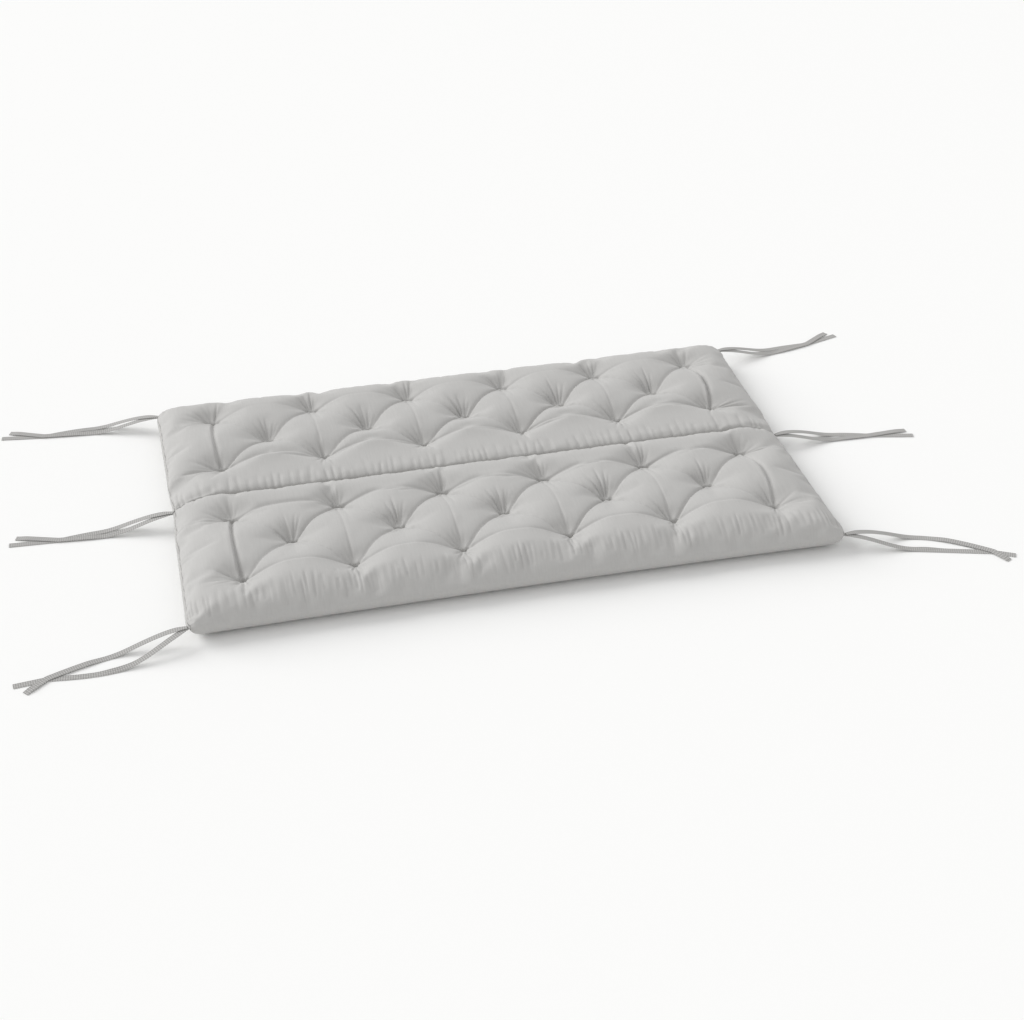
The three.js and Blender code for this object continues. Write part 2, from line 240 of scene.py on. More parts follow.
# A tape's section as shares of its half width and half thickness, with firm selvedges at both edges
TAPE_SECTION = [
    (-1.0, -0.55), (-0.88, -1.0), (-0.66, -0.78), (0.0, -0.70), (0.66, -0.78), (0.88, -1.0), (1.0, -0.55),
    (1.0, 0.55), (0.88, 1.0), (0.66, 0.78), (0.0, 0.70), (-0.66, 0.78), (-0.88, 1.0), (-1.0, 0.55),
]

# One row for each tie. heading and bow turn it towards the back of the cushion, cross is where its
# tails cross, gap is half the opening between them, tip and spread place the two cut ends, and back
# and front say how far out each tail ends. over names the tail on top at the crossing.
TIES = [
    {"name": "front_left", "end": -1, "place": -1, "heading": -11, "bow": -0.007, "cross": 0.304,
     "gap": 0.025, "tip": -0.011, "spread": 0.017, "back": 0.355, "front": 0.376, "over": "back"},
    {"name": "front_right", "end": 1, "place": -1, "heading": -16, "bow": 0.025, "cross": 0.340,
     "gap": 0.024, "tip": -0.022, "spread": 0.011, "back": 0.372, "front": 0.392, "over": "back"},
    {"name": "middle_left", "end": -1, "place": 0, "heading": 1, "bow": 0.004, "cross": 0.268,
     "gap": 0.011, "tip": 0.017, "spread": 0.013, "back": 0.379, "front": 0.364, "over": "front"},
    {"name": "middle_right", "end": 1, "place": 0, "heading": 0, "bow": 0.016, "cross": 0.260,
     "gap": 0.013, "tip": -0.010, "spread": 0.014, "back": 0.365, "front": 0.357, "over": "front"},
    {"name": "back_left", "end": -1, "place": 1, "heading": 7, "bow": 0.014, "cross": 0.290,
     "gap": 0.012, "tip": 0.014, "spread": 0.012, "back": 0.395, "front": 0.376, "over": "front"},
    {"name": "back_right", "end": 1, "place": 1, "heading": 9, "bow": 0.002, "cross": 0.280,
     "gap": 0.011, "tip": 0.025, "spread": 0.011, "back": 0.377, "front": 0.358, "over": "front"},
]

# Finishes
CLOTH_COLOUR = "#c1c0be"
CLOTH_SHADE = "#b7b6b4"
# Painted shade beside each end seam, for the shadow in its groove: its colour, its inset from the seam and
# its half width
PAINTED_SEAM_SHADE_COLOUR = "#979694"
PAINTED_SEAM_SHADE_INSET = 0.0135
PAINTED_SEAM_SHADE_HALF_WIDTH = 0.0040
# The tape's colour, and a painted shade for the hollows of its weave
TAPE_COLOUR = "#c9c8c6"
TAPE_HOLLOW_PAINTED_SHADE = "#979694"
CLOTH_ROUGHNESS = 0.92
TAPE_ROUGHNESS = 0.90
COTTON_IOR = 1.45
COTTON_SPECULAR = 0.25
CLOTH_SHEEN = 0.15
SHEEN_ROUGHNESS = 0.50
THREAD_SPACING = 0.0016
SLUB_WIDTH = 0.003
SLUB_LENGTH = 0.045
CLOTH_BUMP = 0.25
TAPE_BUMP = 0.5
THREAD_RELIEF = 0.0004
TAPE_RIB_SPACING = 0.0050
TAPE_WEFT_SPACING = 0.0050

# A colour Mix node's sockets, by number, because its number, vector and colour sockets share their names
MIX_A = 6
MIX_B = 7
MIX_RESULT = 2

# Studio
FLOOR_COLOUR = "#fafaf9"
FLOOR_SIZE = 60.0
SKY_COLOUR = "#ffffff"
SKY_STRENGTH = 0.70
KEY_FROM = (-2.7, 2.0, 2.00)
KEY_SPREAD = 40.0
KEY_STRENGTH = 1.92


def smoothstep(low, high, value):
    t = np.clip((value - low) / (high - low), 0.0, 1.0)
    return t * t * (3.0 - 2.0 * t)


def smooth_run(stops, value):
    """Runs smoothly through stops, which are pairs of a place and the height there."""
    height = stops[0][1]
    for (low, start), (high, end) in zip(stops[:-1], stops[1:]):
        height = height + (end - start) * smoothstep(low, high, value)
    return height


def roll_height(inset, reach, fullness=2.0):
    """A quarter round, squarer with more fullness: 0 at the seam, 1 where it meets the panel's flat."""
    t = np.clip(inset / reach, 0.0, 1.0)
    return (1.0 - (1.0 - t) ** fullness) ** (1.0 / fullness)


def tuft_row(count, y):
    return [np.array(((i - (count - 1) / 2) * TUFT_PITCH, y)) for i in range(count)]


def tuft_rows(panel):
    back = tuft_row(LONG_ROW, panel["back"])
    middle = tuft_row(SHORT_ROW, panel["middle"])
    front = tuft_row(LONG_ROW, panel["front"])
    return back, middle, front


TUFTS = np.array([tuft for panel in (BACK_PANEL, SEAT_PANEL) for row in tuft_rows(panel) for tuft in row])


def distance_to_tuft(x, y):
    nearest = np.full(x.shape, np.inf)
    for tuft in TUFTS:
        nearest = np.minimum(nearest, np.hypot(x - tuft[0], y - tuft[1]))
    return nearest


def main_folds(panel):
    """Every main fold of a panel as its kind, the two tufts that it joins and its bow."""
    back, middle, front = tuft_rows(panel)
    folds = [
        ("end_post", back[0], front[0], -END_POST_BOWS["left"]),
        ("end_post", back[-1], front[-1], END_POST_BOWS["right"]),
    ]
    for i in range(SHORT_ROW):
        for row, bow in ((back, ROW_BOWS["back"]), (front, ROW_BOWS["front"])):
            folds.append(("row", row[i], row[i + 1], bow))
            folds.append(("diagonal", middle[i], row[i], 0.0))
            folds.append(("diagonal", middle[i], row[i + 1], 0.0))
    return folds


def along_and_off(x, y, start, end, bow=0.0):
    """Share of the way along a line, and the distance to the left of it, where the line bows to its left."""
    line = end - start
    length = np.hypot(*line)
    along = ((x - start[0]) * line[0] + (y - start[1]) * line[1]) / length**2
    off = ((y - start[1]) * line[0] - (x - start[0]) * line[1]) / length
    share = np.clip(along, 0.0, 1.0)
    return along, off - 4.0 * bow * share * (1.0 - share)


def main_fold_depth(x, y, uneven):
    depth = np.zeros(x.shape)
    for panel in (BACK_PANEL, SEAT_PANEL):
        for kind, start, end, bow in main_folds(panel):
            middle_depth, end_depth, softness = MAIN_FOLDS[kind]
            strength = 1.0 + FOLD_UNEVENNESS * uneven.uniform(-1.0, 1.0)
            along, off = along_and_off(x, y, start, end, bow)
            from_middle = np.clip(np.abs(2.0 * along - 1.0), 0.0, 1.0)
            line_depth = middle_depth * strength + (end_depth - middle_depth * strength) * from_middle**2
            past_end = np.maximum(np.abs(along - 0.5) - 0.5, 0.0) * np.hypot(*(end - start))
            away = np.hypot(off, past_end)
            depth = np.maximum(depth, line_depth * np.exp(-away / softness))
    return depth


def clustered(start, end, cells, clustering=CELL_CLUSTERING):
    """Lines from start up to, but not including, end, closer together near both."""
    share = np.arange(cells) / cells
    share = share - clustering * np.sin(2.0 * math.pi * share) / (2.0 * math.pi)
    return start + (end - start) * share


def edge_insets(margin, roll, roll_cells, flat_cells=0):
    """Insets of the lines from the seam to the first tuft line, even along the curve of the roll."""
    turn = np.arange(roll_cells) / roll_cells * math.pi / 2
    on_roll = roll * (1.0 - np.cos(turn))
    on_flat = np.linspace(roll, margin, flat_cells, endpoint=False)
    return np.concatenate([on_roll, on_flat])


def grid_lines():
    first_tuft = -(LONG_ROW - 1) / 2 * TUFT_PITCH
    side = edge_insets(HALF_LENGTH + first_tuft, END_ROLL, END_ROLL_CELLS) - HALF_LENGTH
    half_pitches = 2 * (LONG_ROW - 1)
    stops = first_tuft + np.arange(half_pitches + 1) * TUFT_PITCH / 2
    between = [clustered(a, b, CELLS_PER_HALF_PITCH) for a, b in zip(stops[:-1], stops[1:])]
    x_lines = np.concatenate([side, *between, [-first_tuft], -side[::-1]])

    front = edge_insets(HALF_DEPTH + SEAT_PANEL["front"], TOP_ROLL, ROLL_CELLS, FLAT_CELLS) - HALF_DEPTH
    back = HALF_DEPTH - edge_insets(HALF_DEPTH - BACK_PANEL["back"], TOP_ROLL, ROLL_CELLS, FLAT_CELLS)
    y_lines = np.concatenate([
        front,
        clustered(SEAT_PANEL["front"], SEAT_PANEL["middle"], CELLS_PER_ROW_GAP),
        clustered(SEAT_PANEL["middle"], SEAT_PANEL["back"], CELLS_PER_ROW_GAP),
        clustered(SEAT_PANEL["back"], -CHANNEL_SLIT, CHANNEL_CELLS, CHANNEL_CLUSTERING),
        [-CHANNEL_SLIT, 0.0],
        clustered(CHANNEL_SLIT, BACK_PANEL["front"], CHANNEL_CELLS, CHANNEL_CLUSTERING),
        clustered(BACK_PANEL["front"], BACK_PANEL["middle"], CELLS_PER_ROW_GAP),
        clustered(BACK_PANEL["middle"], BACK_PANEL["back"], CELLS_PER_ROW_GAP),
        [BACK_PANEL["back"]],
        back[::-1],
    ])
    return x_lines, y_lines


def laid_out(grid, half_size, roll, roll_length):
    """Where grid lines lie on the laid-out cloth."""
    inset = half_size - np.abs(grid)
    turn = np.arccos(np.clip(1.0 - inset / roll, 0.0, 1.0)) / (math.pi / 2)
    on_roll = half_size - roll + roll_length * (1.0 - turn)
    return np.sign(grid) * np.where(inset < roll, on_roll, np.abs(grid))


def plan_grid(x, y):
    """Plan places of the grid points: corners rounded ring by ring, then the sides drawn in."""
    inset_x = HALF_LENGTH - np.abs(x)
    inset_y = HALF_DEPTH - np.abs(y)
    inset = np.minimum(inset_x, inset_y)
    radius = np.maximum(CORNER_RADIUS - inset, 0.0)
    along_x = inset_x - inset
    along_y = inset_y - inset
    rounded = (radius > 0.0) & (along_x < radius) & (along_y < radius)
    angle = math.pi / 4 * (1.0 + (along_x - along_y) / np.where(rounded, radius, 1.0))
    out_x = np.where(rounded, HALF_LENGTH - inset - radius + radius * np.cos(angle), np.abs(x))
    out_y = np.where(rounded, HALF_DEPTH - inset - radius + radius * np.sin(angle), np.abs(y))
    bow = 1.0 - (out_y / HALF_DEPTH) ** 2
    at_channel = np.exp(-((out_y / CHANNEL_END_WIDTH) ** 2))
    draw_x = SHORT_SIDE_DRAW * bow + CHANNEL_END_DRAW * at_channel
    draw_y = LONG_SIDE_DRAW * (1.0 - (out_x / HALF_LENGTH) ** 2)
    out_x = out_x - draw_x * (1.0 - smoothstep(0.0, DRAW_REACH, inset_x))
    out_y = out_y - draw_y * (1.0 - smoothstep(0.0, DRAW_REACH, inset_y))
    return np.sign(x) * out_x, np.sign(y) * out_y, inset_x, inset_y


def start_top(x, y, inset_x, inset_y):
    """The upper cloth before it settles: a low pillow with its tufts and main folds pulled in."""
    edge = np.minimum(roll_height(inset_x, END_ROLL), roll_height(inset_y, TOP_ROLL))
    channel_roll = np.where(y > 0.0, CHANNEL_BACK_ROLL, CHANNEL_SEAT_ROLL)
    channel = roll_height(np.abs(y), channel_roll, CHANNEL_FULLNESS)
    web_top = SEAM_HEIGHT + CHANNEL_WEB / 2
    crown = np.where(y > 0.0, smooth_run(BACK_CROWNS, y), smooth_run(SEAT_CROWNS, -y))
    share = edge * (web_top - SEAM_HEIGHT + (crown - web_top) * channel)
    rise = np.sqrt(np.clip(distance_to_tuft(x, y) / TUFT_REACH, 0.0, 1.0))
    tufted = (crown - TUFT_HEIGHT) * (1.0 - rise)
    folded = main_fold_depth(x, y, np.random.default_rng(SEED))
    return SEAM_HEIGHT + share - np.maximum(tufted, folded) * edge * channel


def under_face(x, y, inset):
    """The under cloth: flat on the floor, rolled up at the edges and the channel, with shallow tufts."""
    edge = roll_height(inset, UNDER_ROLL)
    channel = roll_height(np.abs(y), CHANNEL_UNDER_ROLL)
    web_under = SEAM_HEIGHT - CHANNEL_WEB / 2
    reach = np.maximum(1.0 - distance_to_tuft(x, y) / UNDER_TUFT_RADIUS, 0.0)
    return SEAM_HEIGHT * (1.0 - edge) + web_under * (1.0 - channel) * edge + UNDER_TUFT_DEPTH * reach**2


def cover_mesh():
    """The sewn cover as one closed mesh, finer above than below, and its pinned points."""
    x_lines, y_lines = grid_lines()
    grid_x, grid_y = np.meshgrid(x_lines, y_lines)
    rows, columns = grid_x.shape
    x, y, inset_x, inset_y = plan_grid(grid_x, grid_y)
    inset = np.minimum(inset_x, inset_y)
    on_seam = inset < TOUCHING
    top_z = np.where(on_seam, SEAM_HEIGHT, start_top(x, y, inset_x, inset_y))
    under_z = under_face(x, y, inset)

    top = np.arange(rows * columns).reshape(rows, columns)
    row_of, column_of = np.meshgrid(np.arange(rows), np.arange(columns), indexing="ij")
    below = ~on_seam & (row_of % 2 == 0) & (column_of % 2 == 0)
    under = np.full((rows, columns), -1)
    under[on_seam] = top[on_seam]
    under[below] = rows * columns + np.arange(np.count_nonzero(below))
    points = np.concatenate([
        np.stack([x, y, top_z], -1).reshape(-1, 3),
        np.stack([x, y, under_z], -1)[below],
    ])

    faces = []
    for j in range(rows - 1):
        for i in range(columns - 1):
            faces.append((top[j, i], top[j, i + 1], top[j + 1, i + 1], top[j + 1, i]))
    for j in range(0, rows - 1, 2):
        for i in range(0, columns - 1, 2):
            around = [(j, i), (j + 1, i), (j + 2, i), (j + 2, i + 1), (j + 2, i + 2),
                      (j + 1, i + 2), (j, i + 2), (j, i + 1)]
            faces.append([under[corner] for corner in around if under[corner] >= 0])

    laid_x = laid_out(grid_x, HALF_LENGTH, END_ROLL, END_ROLL_LENGTH)
    laid_y = laid_out(grid_y, HALF_DEPTH, TOP_ROLL, ROLL_LENGTH)
    side = np.where(on_seam, 0.0, 1.0)
    sheet = np.concatenate([
        np.stack([laid_x, laid_y, side], -1).reshape(-1, 3),
        np.stack([laid_x, laid_y, -side], -1)[below],
    ])

    at_tuft = distance_to_tuft(x, y) < TUFT_STITCH_RADIUS
    at_channel = np.abs(grid_y) < TOUCHING
    pinned = np.concatenate([top[at_tuft | on_seam | at_channel], under[below]])
    return points, [list(map(int, face)) for face in faces], sheet, np.unique(pinned)


def select_only(piece):
    bpy.ops.object.select_all(action="DESELECT")
    piece.select_set(True)
    bpy.context.view_layer.objects.active = piece


def new_piece(name, points, faces):
    mesh = bpy.data.meshes.new(name)
    mesh.from_pydata(np.asarray(points).tolist(), [], faces)
    mesh.update()
    piece = bpy.data.objects.new(name, mesh)
    bpy.context.scene.collection.objects.link(piece)
    select_only(piece)
    return piece


def point_array(mesh):
    places = np.empty(len(mesh.vertices) * 3, np.float32)
    mesh.vertices.foreach_get("co", places)
    return places.reshape(-1, 3).astype(float)


def set_points(mesh, places):
    mesh.vertices.foreach_set("co", places.astype(np.float32).ravel())
    mesh.update()


def settle(cover, pinned):
    """Blender's Cloth swells the cover over its filling, with spare cloth that gathers at the tufts. Each
    point's movement is capped, and the two panels stay on their own sides of the channel."""
    start = point_array(cover.data)
    pins = cover.vertex_groups.new(name="sewn_and_resting")
    pins.add([int(i) for i in pinned], 1.0, "REPLACE")
    cloth = cover.modifiers.new("Cloth", "CLOTH")
    settings = cloth.settings
    settings.quality = CLOTH_QUALITY
    settings.mass = CLOTH_POINT_MASS
    settings.air_damping = CLOTH_AIR_DAMPING
    settings.tension_stiffness = CLOTH_STIFFNESS
    settings.compression_stiffness = CLOTH_STIFFNESS
    settings.shear_stiffness = CLOTH_SHEAR_STIFFNESS
    settings.bending_stiffness = CLOTH_BENDING_STIFFNESS
    settings.use_pressure = True
    settings.uniform_pressure_force = CLOTH_PRESSURE
    settings.shrink_min = -CLOTH_EXCESS
    settings.vertex_group_mass = pins.name
    settings.effector_weights.gravity = 0.0
    cloth.collision_settings.use_collision = False
    cloth.collision_settings.use_self_collision = False
    cloth.point_cache.frame_start = 1
    cloth.point_cache.frame_end = CLOTH_FRAMES
    scene = bpy.context.scene
    for step in range(1, CLOTH_FRAMES + 1):
        scene.frame_set(step)
    select_only(cover)
    bpy.ops.object.modifier_apply(modifier=cloth.name)
    scene.frame_set(1)
    moved = point_array(cover.data) - start
    distance = np.linalg.norm(moved, axis=1, keepdims=True)
    y = start[:, 1:2]
    most = np.where(y > 0.0, smooth_run(BACK_SWELLS, y), smooth_run(SEAT_SWELLS, -y))
    moved *= np.minimum(1.0, most / np.maximum(distance, TOUCHING))
    places = start + moved
    seat = start[:, 1] < -CHANNEL_GAP
    back = start[:, 1] > CHANNEL_GAP
    places[seat, 1] = np.minimum(places[seat, 1], -CHANNEL_GAP)
    places[back, 1] = np.maximum(places[back, 1], CHANNEL_GAP)
    places[:, 2] = np.maximum(places[:, 2], 0.0)
    set_points(cover.data, places)


class Wrinkles:
    """Gathers troughs in the cloth, as a depth at each point, from its places on the laid-out cloth."""

    def __init__(self, sheet):
        self.x, self.y, self.side = sheet.T
        self.depth = np.zeros(len(sheet))
        self.touched = np.zeros(len(sheet), bool)

    def trough(self, start, end, depth_at, width_at, gentle_side=1.0, lip=0.0, bow=0.0):
        """A trough from start to end. depth_at and width_at take the share of the way along,
        gentle_side widens the side to the left of that way, and lip raises the cloth to its right."""
        low = np.minimum(start, end) - WRINKLE_REACH
        high = np.maximum(start, end) + WRINKLE_REACH
        near = (self.x > low[0]) & (self.x < high[0]) & (self.y > low[1]) & (self.y < high[1])
        near = np.flatnonzero(near & (self.side > -0.5))
        along, off = along_and_off(self.x[near], self.y[near], start, end, bow)
        inside = (along > 0.0) & (along < 1.0)
        near, along, off = near[inside], along[inside], off[inside]
        width = width_at(along)
        valley = np.exp(-((off / np.where(off > 0.0, width * gentle_side, width)) ** 2))
        shoulder = np.exp(-((off / width + CREASE_LIP_WIDTHS_OFF) ** 2))
        self.depth[near] += depth_at(along) * (valley - lip * shoulder)
        self.touched[near[np.abs(off) < REFINED_REACH]] = True


def place_sharp_creases(wrinkles, uneven):
    def crease(kind, start, end, bow=0.0, lip=0.0):
        middle_depth, end_depth, width = SHARP_CREASES[kind]
        strength = 1.0 + FOLD_UNEVENNESS * uneven.uniform(-1.0, 1.0)

        def depth_at(along):
            from_middle = np.abs(2.0 * along - 1.0)
            return strength * (middle_depth + (end_depth - middle_depth) * from_middle**2)

        slot_side = np.array((0.0 if kind == "end_post" else SLOT_SIDE, 0.0))
        wrinkles.trough(start + slot_side, end - slot_side, depth_at, lambda along: width,
                        GENTLE_SIDE, lip, bow)

    def post_depth(along):
        at_ends = POST_DEPTHS["back"] * (1.0 - along) ** 2 + POST_DEPTHS["front"] * along**3
        return POST_DEPTHS["all along"] + at_ends

    for panel in (BACK_PANEL, SEAT_PANEL):
        back, middle, front = tuft_rows(panel)
        crease("end_post", back[0], front[0], -END_POST_BOWS["left"], lip=CREASE_LIP)
        crease("end_post", back[-1], front[-1], END_POST_BOWS["right"], lip=CREASE_LIP)
        for i in range(SHORT_ROW):
            crease("row", back[i], back[i + 1], ROW_BOWS["back"])
            crease("front_row", front[i], front[i + 1], ROW_BOWS["front"], lip=CREASE_LIP)
            crease("rising_diagonal", front[i], middle[i], lip=CREASE_LIP)
            crease("rising_diagonal", middle[i], back[i + 1], lip=CREASE_LIP)
            crease("falling_diagonal", back[i], middle[i])
            crease("falling_diagonal", middle[i], front[i + 1])
        for i in range(1, LONG_ROW - 1):
            post_start = back[i] - np.array((SHORT_POST_START, 0.0))
            wrinkles.trough(post_start, front[i], post_depth, lambda along: POST_WIDTH)
            short_start = back[i] + np.array((SHORT_POST_START, 0.0))
            short_end = back[i] + (front[i] - back[i]) * SHORT_POST_REACH + np.array((SHORT_POST_END, 0.0))
            wrinkles.trough(short_start, short_end, lambda along: SHORT_POST_DEPTH * (1.0 - along),
                            lambda along: SHORT_POST_WIDTH)


def place_fans(wrinkles, uneven):
    def fan(tuft, rays, mirrored=1):
        for turn, length, depth, width in rays:
            turn = math.radians(turn + uneven.uniform(-1.0, 1.0) * FAN_TURN_UNEVENNESS)
            size = 1.0 + uneven.uniform(-1.0, 1.0) * FAN_SIZE_UNEVENNESS
            ray = np.array((math.cos(turn) * mirrored, math.sin(turn))) * length * size

            def depth_at(along, depth=depth * size):
                return depth * smoothstep(0.0, FAN_RAMP, along) * (1.0 - along)

            def width_at(along, width=width):
                return width * (FAN_ROOT_WIDTH + FAN_WIDENING * along)

            wrinkles.trough(tuft, tuft + ray, depth_at, width_at)

    for panel in (BACK_PANEL, SEAT_PANEL):
        for name, row in zip(("back", "middle", "front"), tuft_rows(panel)):
            for tuft in row:
                fan(tuft, TUFT_FANS[name])
            if name != "middle":
                fan(row[-1], END_FANS)
                fan(row[0], END_FANS, mirrored=-1)


def place_gathers(wrinkles, uneven):
    def fade(along):
        fade_in, fade_out = GATHER_FADES
        return smoothstep(0.0, fade_in, along) * (1.0 - smoothstep(fade_out, 1.0, along))

    def sway():
        return uneven.uniform(-GATHER_SWAY, GATHER_SWAY)

    def gather(run, place_at):
        depth = uneven.uniform(*run["depth"])
        width = uneven.uniform(*run["width"])
        start = place_at(uneven.uniform(*run["starts"]))
        end = place_at(uneven.uniform(*run["stops"]))
        wrinkles.trough(start, end, lambda along: depth * fade(along), lambda along: width)

    for run in GATHERS.values():
        x = -SEAM_AT_END + uneven.uniform(*run["spacing"])
        while x < SEAM_AT_END:
            gather(run, lambda y, x=x: np.array((x + sway(), y)))
            x += uneven.uniform(*run["spacing"])
    for end in (-1, 1):
        y = -SEAM_AT_LONG_SIDE + uneven.uniform(*END_GATHERS["spacing"])
        while y < SEAM_AT_LONG_SIDE:
            gather(END_GATHERS, lambda x, y=y, end=end: np.array((end * x, y + sway())))
            y += uneven.uniform(*END_GATHERS["spacing"])


def tuft_pits(sheet):
    """Depths of the short slot at each tuft and of the hollow behind it, less the lip in front of it."""
    depth = np.zeros(len(sheet))
    for panel in (BACK_PANEL, SEAT_PANEL):
        for name, row in zip(("back", "middle", "front"), tuft_rows(panel)):
            for tuft in row:
                across = sheet[:, 0] - tuft[0]
                behind = sheet[:, 1] - tuft[1]
                slot = smoothstep(*SLOT_FRONT, behind) * (1.0 - smoothstep(*SLOT_WALL, behind))
                slot *= np.exp(-((across / SLOT_LENGTH) ** 2))
                lip = np.exp(-((across / LIP_LENGTH) ** 2) - ((behind + LIP_OFFSET) / LIP_WIDTH) ** 2)
                hollow = np.exp(-((across / HOLLOW_LENGTH) ** 2)
                                - ((behind - HOLLOW_OFFSET) / HOLLOW_WIDTH) ** 2)
                depth += SLOT_DEPTHS[name] * slot + HOLLOW_DEPTH * hollow - LIP_HEIGHT * lip
    return depth


def sheet_places(cover):
    places = np.empty(len(cover.data.vertices) * 3, np.float32)
    cover.data.attributes["laid_out"].data.foreach_get("vector", places)
    return places.reshape(-1, 3).astype(float)


def plan_wrinkles(sheet):
    """All the placed wrinkles at the points of the laid-out cloth, and which points need finer cells."""
    uneven = np.random.default_rng(SEED + 1)
    wrinkles = Wrinkles(sheet)
    place_sharp_creases(wrinkles, uneven)
    place_fans(wrinkles, uneven)
    place_gathers(wrinkles, uneven)
    wrinkles.touched |= np.abs(SEAM_AT_END - np.abs(wrinkles.x)) < END_SEAM_GROOVE_INSET
    for tuft in TUFTS:
        across = np.abs(wrinkles.x - tuft[0])
        behind = wrinkles.y - tuft[1]
        along_slot = (behind > REFINED_SLOT_PART[0]) & (behind < REFINED_SLOT_PART[1])
        wrinkles.touched |= (across < REFINED_SLOT_LENGTH) & along_slot & (wrinkles.side > 0)
    return wrinkles


def refine(cover):
    """Halves the cells that a crease crosses, so that it comes out crisp."""
    mesh = cover.data
    touched = plan_wrinkles(sheet_places(cover)).touched
    crossed = [bool(touched[list(face.vertices)].any()) for face in mesh.polygons]
    select_only(cover)
    bpy.ops.object.mode_set(mode="EDIT")
    bpy.ops.mesh.select_mode(type="FACE")
    bpy.ops.mesh.select_all(action="DESELECT")
    bpy.ops.object.mode_set(mode="OBJECT")
    mesh.polygons.foreach_set("select", crossed)
    bpy.ops.object.mode_set(mode="EDIT")
    bpy.ops.mesh.subdivide(number_cuts=1)
    bpy.ops.object.mode_set(mode="OBJECT")


def place_wrinkles(cover):
    """Moves the settled cover's points in along its normals, for the creases that the tufts draw."""
    sheet = sheet_places(cover)
    from_seam = SEAM_AT_END - np.abs(sheet[:, 0])
    edge = np.exp(-((from_seam / END_SEAM_WIDTH) ** 2))
    groove = np.exp(-(((from_seam - END_SEAM_GROOVE_INSET) / END_SEAM_WIDTH) ** 2))
    depth = plan_wrinkles(sheet).depth - END_SEAM_RISE * edge + END_SEAM_GROOVE * groove
    mesh = cover.data
    normals = np.empty(len(mesh.vertices) * 3, np.float32)
    mesh.vertex_normals.foreach_get("vector", normals)
    places = point_array(mesh) - normals.reshape(-1, 3) * depth[:, None]
    above = smoothstep(-0.5, 0.5, sheet[:, 2])
    places[:, 2] = np.maximum(places[:, 2] - tuft_pits(sheet) * above, 0.0)
    set_points(mesh, places)


def make_cushion():
    points, faces, sheet, pinned = cover_mesh()
    cover = new_piece("cushion_cover", points, faces)
    laid = cover.data.attributes.new("laid_out", "FLOAT_VECTOR", "POINT")
    laid.data.foreach_set("vector", sheet.astype(np.float32).ravel())
    settle(cover, pinned)
    select_only(cover)
    smooth = cover.modifiers.new("Smooth", "SUBSURF")
    smooth.levels = 1
    smooth.render_levels = 1
    bpy.ops.object.modifier_apply(modifier=smooth.name)
    refine(cover)
    place_wrinkles(cover)
    select_only(cover)
    bpy.ops.object.shade_smooth()
    cover.data.materials.append(cotton_cloth())
    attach(cover, "root")
    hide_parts("cushion")


def tail_offset(tie, tail, along):
    """How far a tail lies to the back of its heading at a distance along it."""
    to_back = 1.0 if tail == "back" else -1.0
    lens = np.where(along < tie["cross"], np.sin(math.pi * along / tie["cross"]), 0.0)
    past_cross = np.maximum((along - tie["cross"]) / (tie[tail] - tie["cross"]), 0.0)
    return lens * (tie["bow"] + to_back * tie["gap"]) + past_cross * (tie["tip"] - to_back * tie["spread"])


def root_standoff(normal, leaving, seam_radius):
    """How far a tail's cut root stands off the seam, so that neither of its corners meets the cloth."""
    across = np.array((-leaving[1], leaving[0])) * TAPE_ROOT_WIDTH / 2
    standoffs = []
    for edge in (1, -1):
        corner = normal * seam_radius + across * edge
        forward = corner @ leaving
        reach = math.sqrt(forward**2 - corner @ corner + (seam_radius + ROOT_CLEARANCE) ** 2)
        standoffs.append(reach - forward)
    return max(standoffs)


def tail_root(tie, tail):
    """Where a tail leaves the end seam, its heading and the direction to the back of it."""
    turn = math.radians(tie["heading"])
    out = np.array((math.cos(turn) * tie["end"], math.sin(turn)))
    side = np.array((-math.sin(turn) * tie["end"], math.cos(turn)))
    facing = math.radians(tie["place"] * CORNER_ROOT_ANGLE)
    normal = np.array((math.cos(facing) * tie["end"], math.sin(facing)))
    leaving = out + side * tail_offset(tie, tail, ROOT_STEP) / ROOT_STEP
    leaving = leaving / np.hypot(*leaving)
    if tie["place"] == 0:
        seam_radius = HALF_LENGTH - SHORT_SIDE_DRAW - CHANNEL_END_DRAW
        start = np.zeros(2)
    else:
        seam_radius = CORNER_RADIUS
        to_corner = np.array((tie["end"], tie["place"]))
        start = to_corner * (np.array((HALF_LENGTH, HALF_DEPTH)) - seam_radius)
    start = start + normal * seam_radius + leaving * root_standoff(normal, leaving, seam_radius)
    return start, out, side


def tail_route(tie, tail):
    """Points of a tail's route, the lean of its face at each, and the distances along it."""
    start, out, side = tail_root(tie, tail)
    to_back = 1.0 if tail == "back" else -1.0
    along = tie[tail] * np.arange(TAPE_STEPS + 1) / TAPE_STEPS
    to_cross = along / tie["cross"]
    past_cross = (along - tie["cross"]) / (tie[tail] - tie["cross"])
    flat_height = TAPE_THICKNESS / 2 + FLOOR_CLEARANCE
    drop = 1.0 - smoothstep(0.0, LANDING_REACH, along)
    stacked = 1.0 - smoothstep(*STACK_PARTS, along)
    hump = smoothstep(*HUMP_RISES, to_cross) * (1.0 - smoothstep(*HUMP_FALLS, past_cross))
    leaning = smoothstep(*LEAN_RISES, to_cross) * (1.0 - smoothstep(*LEAN_FALLS, to_cross))
    lean = math.radians(FRONT_TAPE_LEAN) * leaning * (tail == "front")
    height = flat_height + (SEAM_HEIGHT - flat_height) * drop + to_back * STACK_PITCH * stacked / 2
    height = height + STACK_PITCH * hump * (tie["over"] == tail) + TAPE_WIDTH / 2 * np.sin(lean)
    plan = start + np.outer(along, out) + np.outer(tail_offset(tie, tail, along), side)
    return np.column_stack([plan, height]), lean, along


